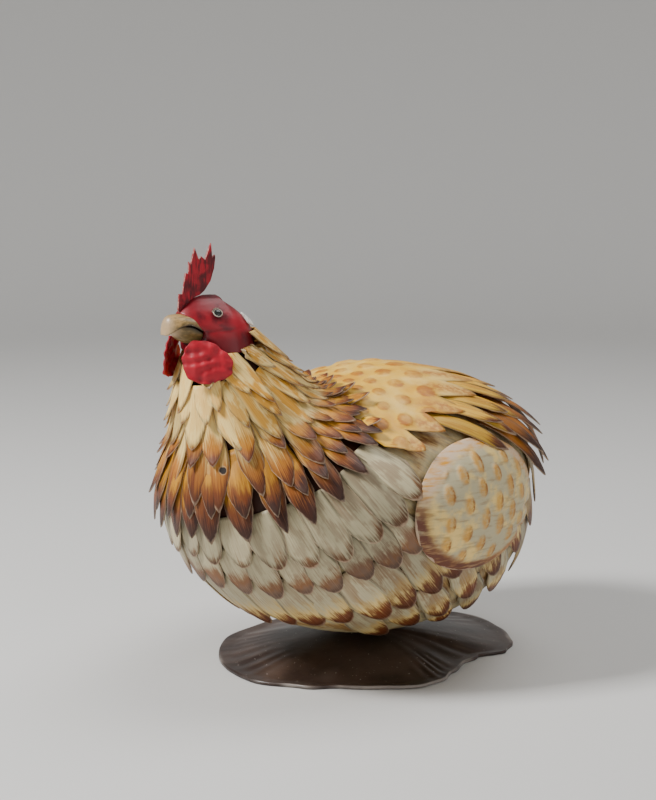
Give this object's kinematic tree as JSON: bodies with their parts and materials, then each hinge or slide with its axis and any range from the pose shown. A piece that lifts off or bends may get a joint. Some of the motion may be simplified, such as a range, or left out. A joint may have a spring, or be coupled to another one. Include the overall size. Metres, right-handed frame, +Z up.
{
  "type": "hen figure",
  "caption": "Hand-painted sheet-metal hen, round-bodied and at rest on a domed leaf-shaped foot plate, with overlapping cut-metal feathers, red comb and wattles.",
  "frame": {"origin": "on the ground, under the middle of the whole figure", "axes": "+Z up, +Y towards the tail (the hen faces -Y), +X towards the hen's left"},
  "size_m": [0.2988, 0.3854, 0.3792],
  "materials": {
    "dark_plate": "dark brown semi-gloss paint, worn bright along the near rim",
    "body_skin": "greyish cream brushed paint, tan scallop tips, satin",
    "red_face": "glossy red paint, darker towards the crown and jaw",
    "beak": "tan and olive-brown paint, satin",
    "comb_red": "deep red paint with paler worn edges",
    "wattle_red": "strawberry red paint on hammered sheet, satin",
    "eye": "dark glossy eye in a pale ring",
    "ear_cream": "off-white paint, satin",
    "wing_paint": "cream paint with ochre ovals and a brown lower rim, satin",
    "hackle_cream": "cream to pale yellow paint with ochre streaks, satin",
    "hackle_ochre": "cream running to ochre and brown tips, satin",
    "hackle_brown": "ochre running to dark maroon-brown tips, satin",
    "belly_tan": "tan-brown scallops on cream, satin",
    "saddle_yellow": "warm yellow-apricot paint with brown lobes, satin",
    "tail_brown": "yellow-brown paint running to dark brown tips, satin"
  },
  "bodies": {
    "root": {"foot_plate": "dark_plate", "body": "body_skin", "head": "red_face", "beak_upper": "beak", "beak_lower": "beak", "comb": "comb_red", "wattle_left": "wattle_red", "wattle_right": "wattle_red", "eye_left": "eye", "eye_right": "eye", "ear_tab_left": "ear_cream", "nape_row": "hackle_cream", "ear_tab_right": "ear_cream", "wing_left": "wing_paint", "wing_right": "wing_paint", "hackle_row_1": "hackle_cream", "hackle_row_2": "hackle_cream", "hackle_row_3": "hackle_ochre", "hackle_row_4": "hackle_brown", "breast_row": "body_skin", "belly_row_1": "body_skin", "belly_row_2": "belly_tan", "fluff_row_1": "belly_tan", "fluff_row_2": "belly_tan", "saddle_sheet": "saddle_yellow", "saddle_row": "saddle_yellow", "tail_row": "tail_brown"}
  },
  "joints": []
}
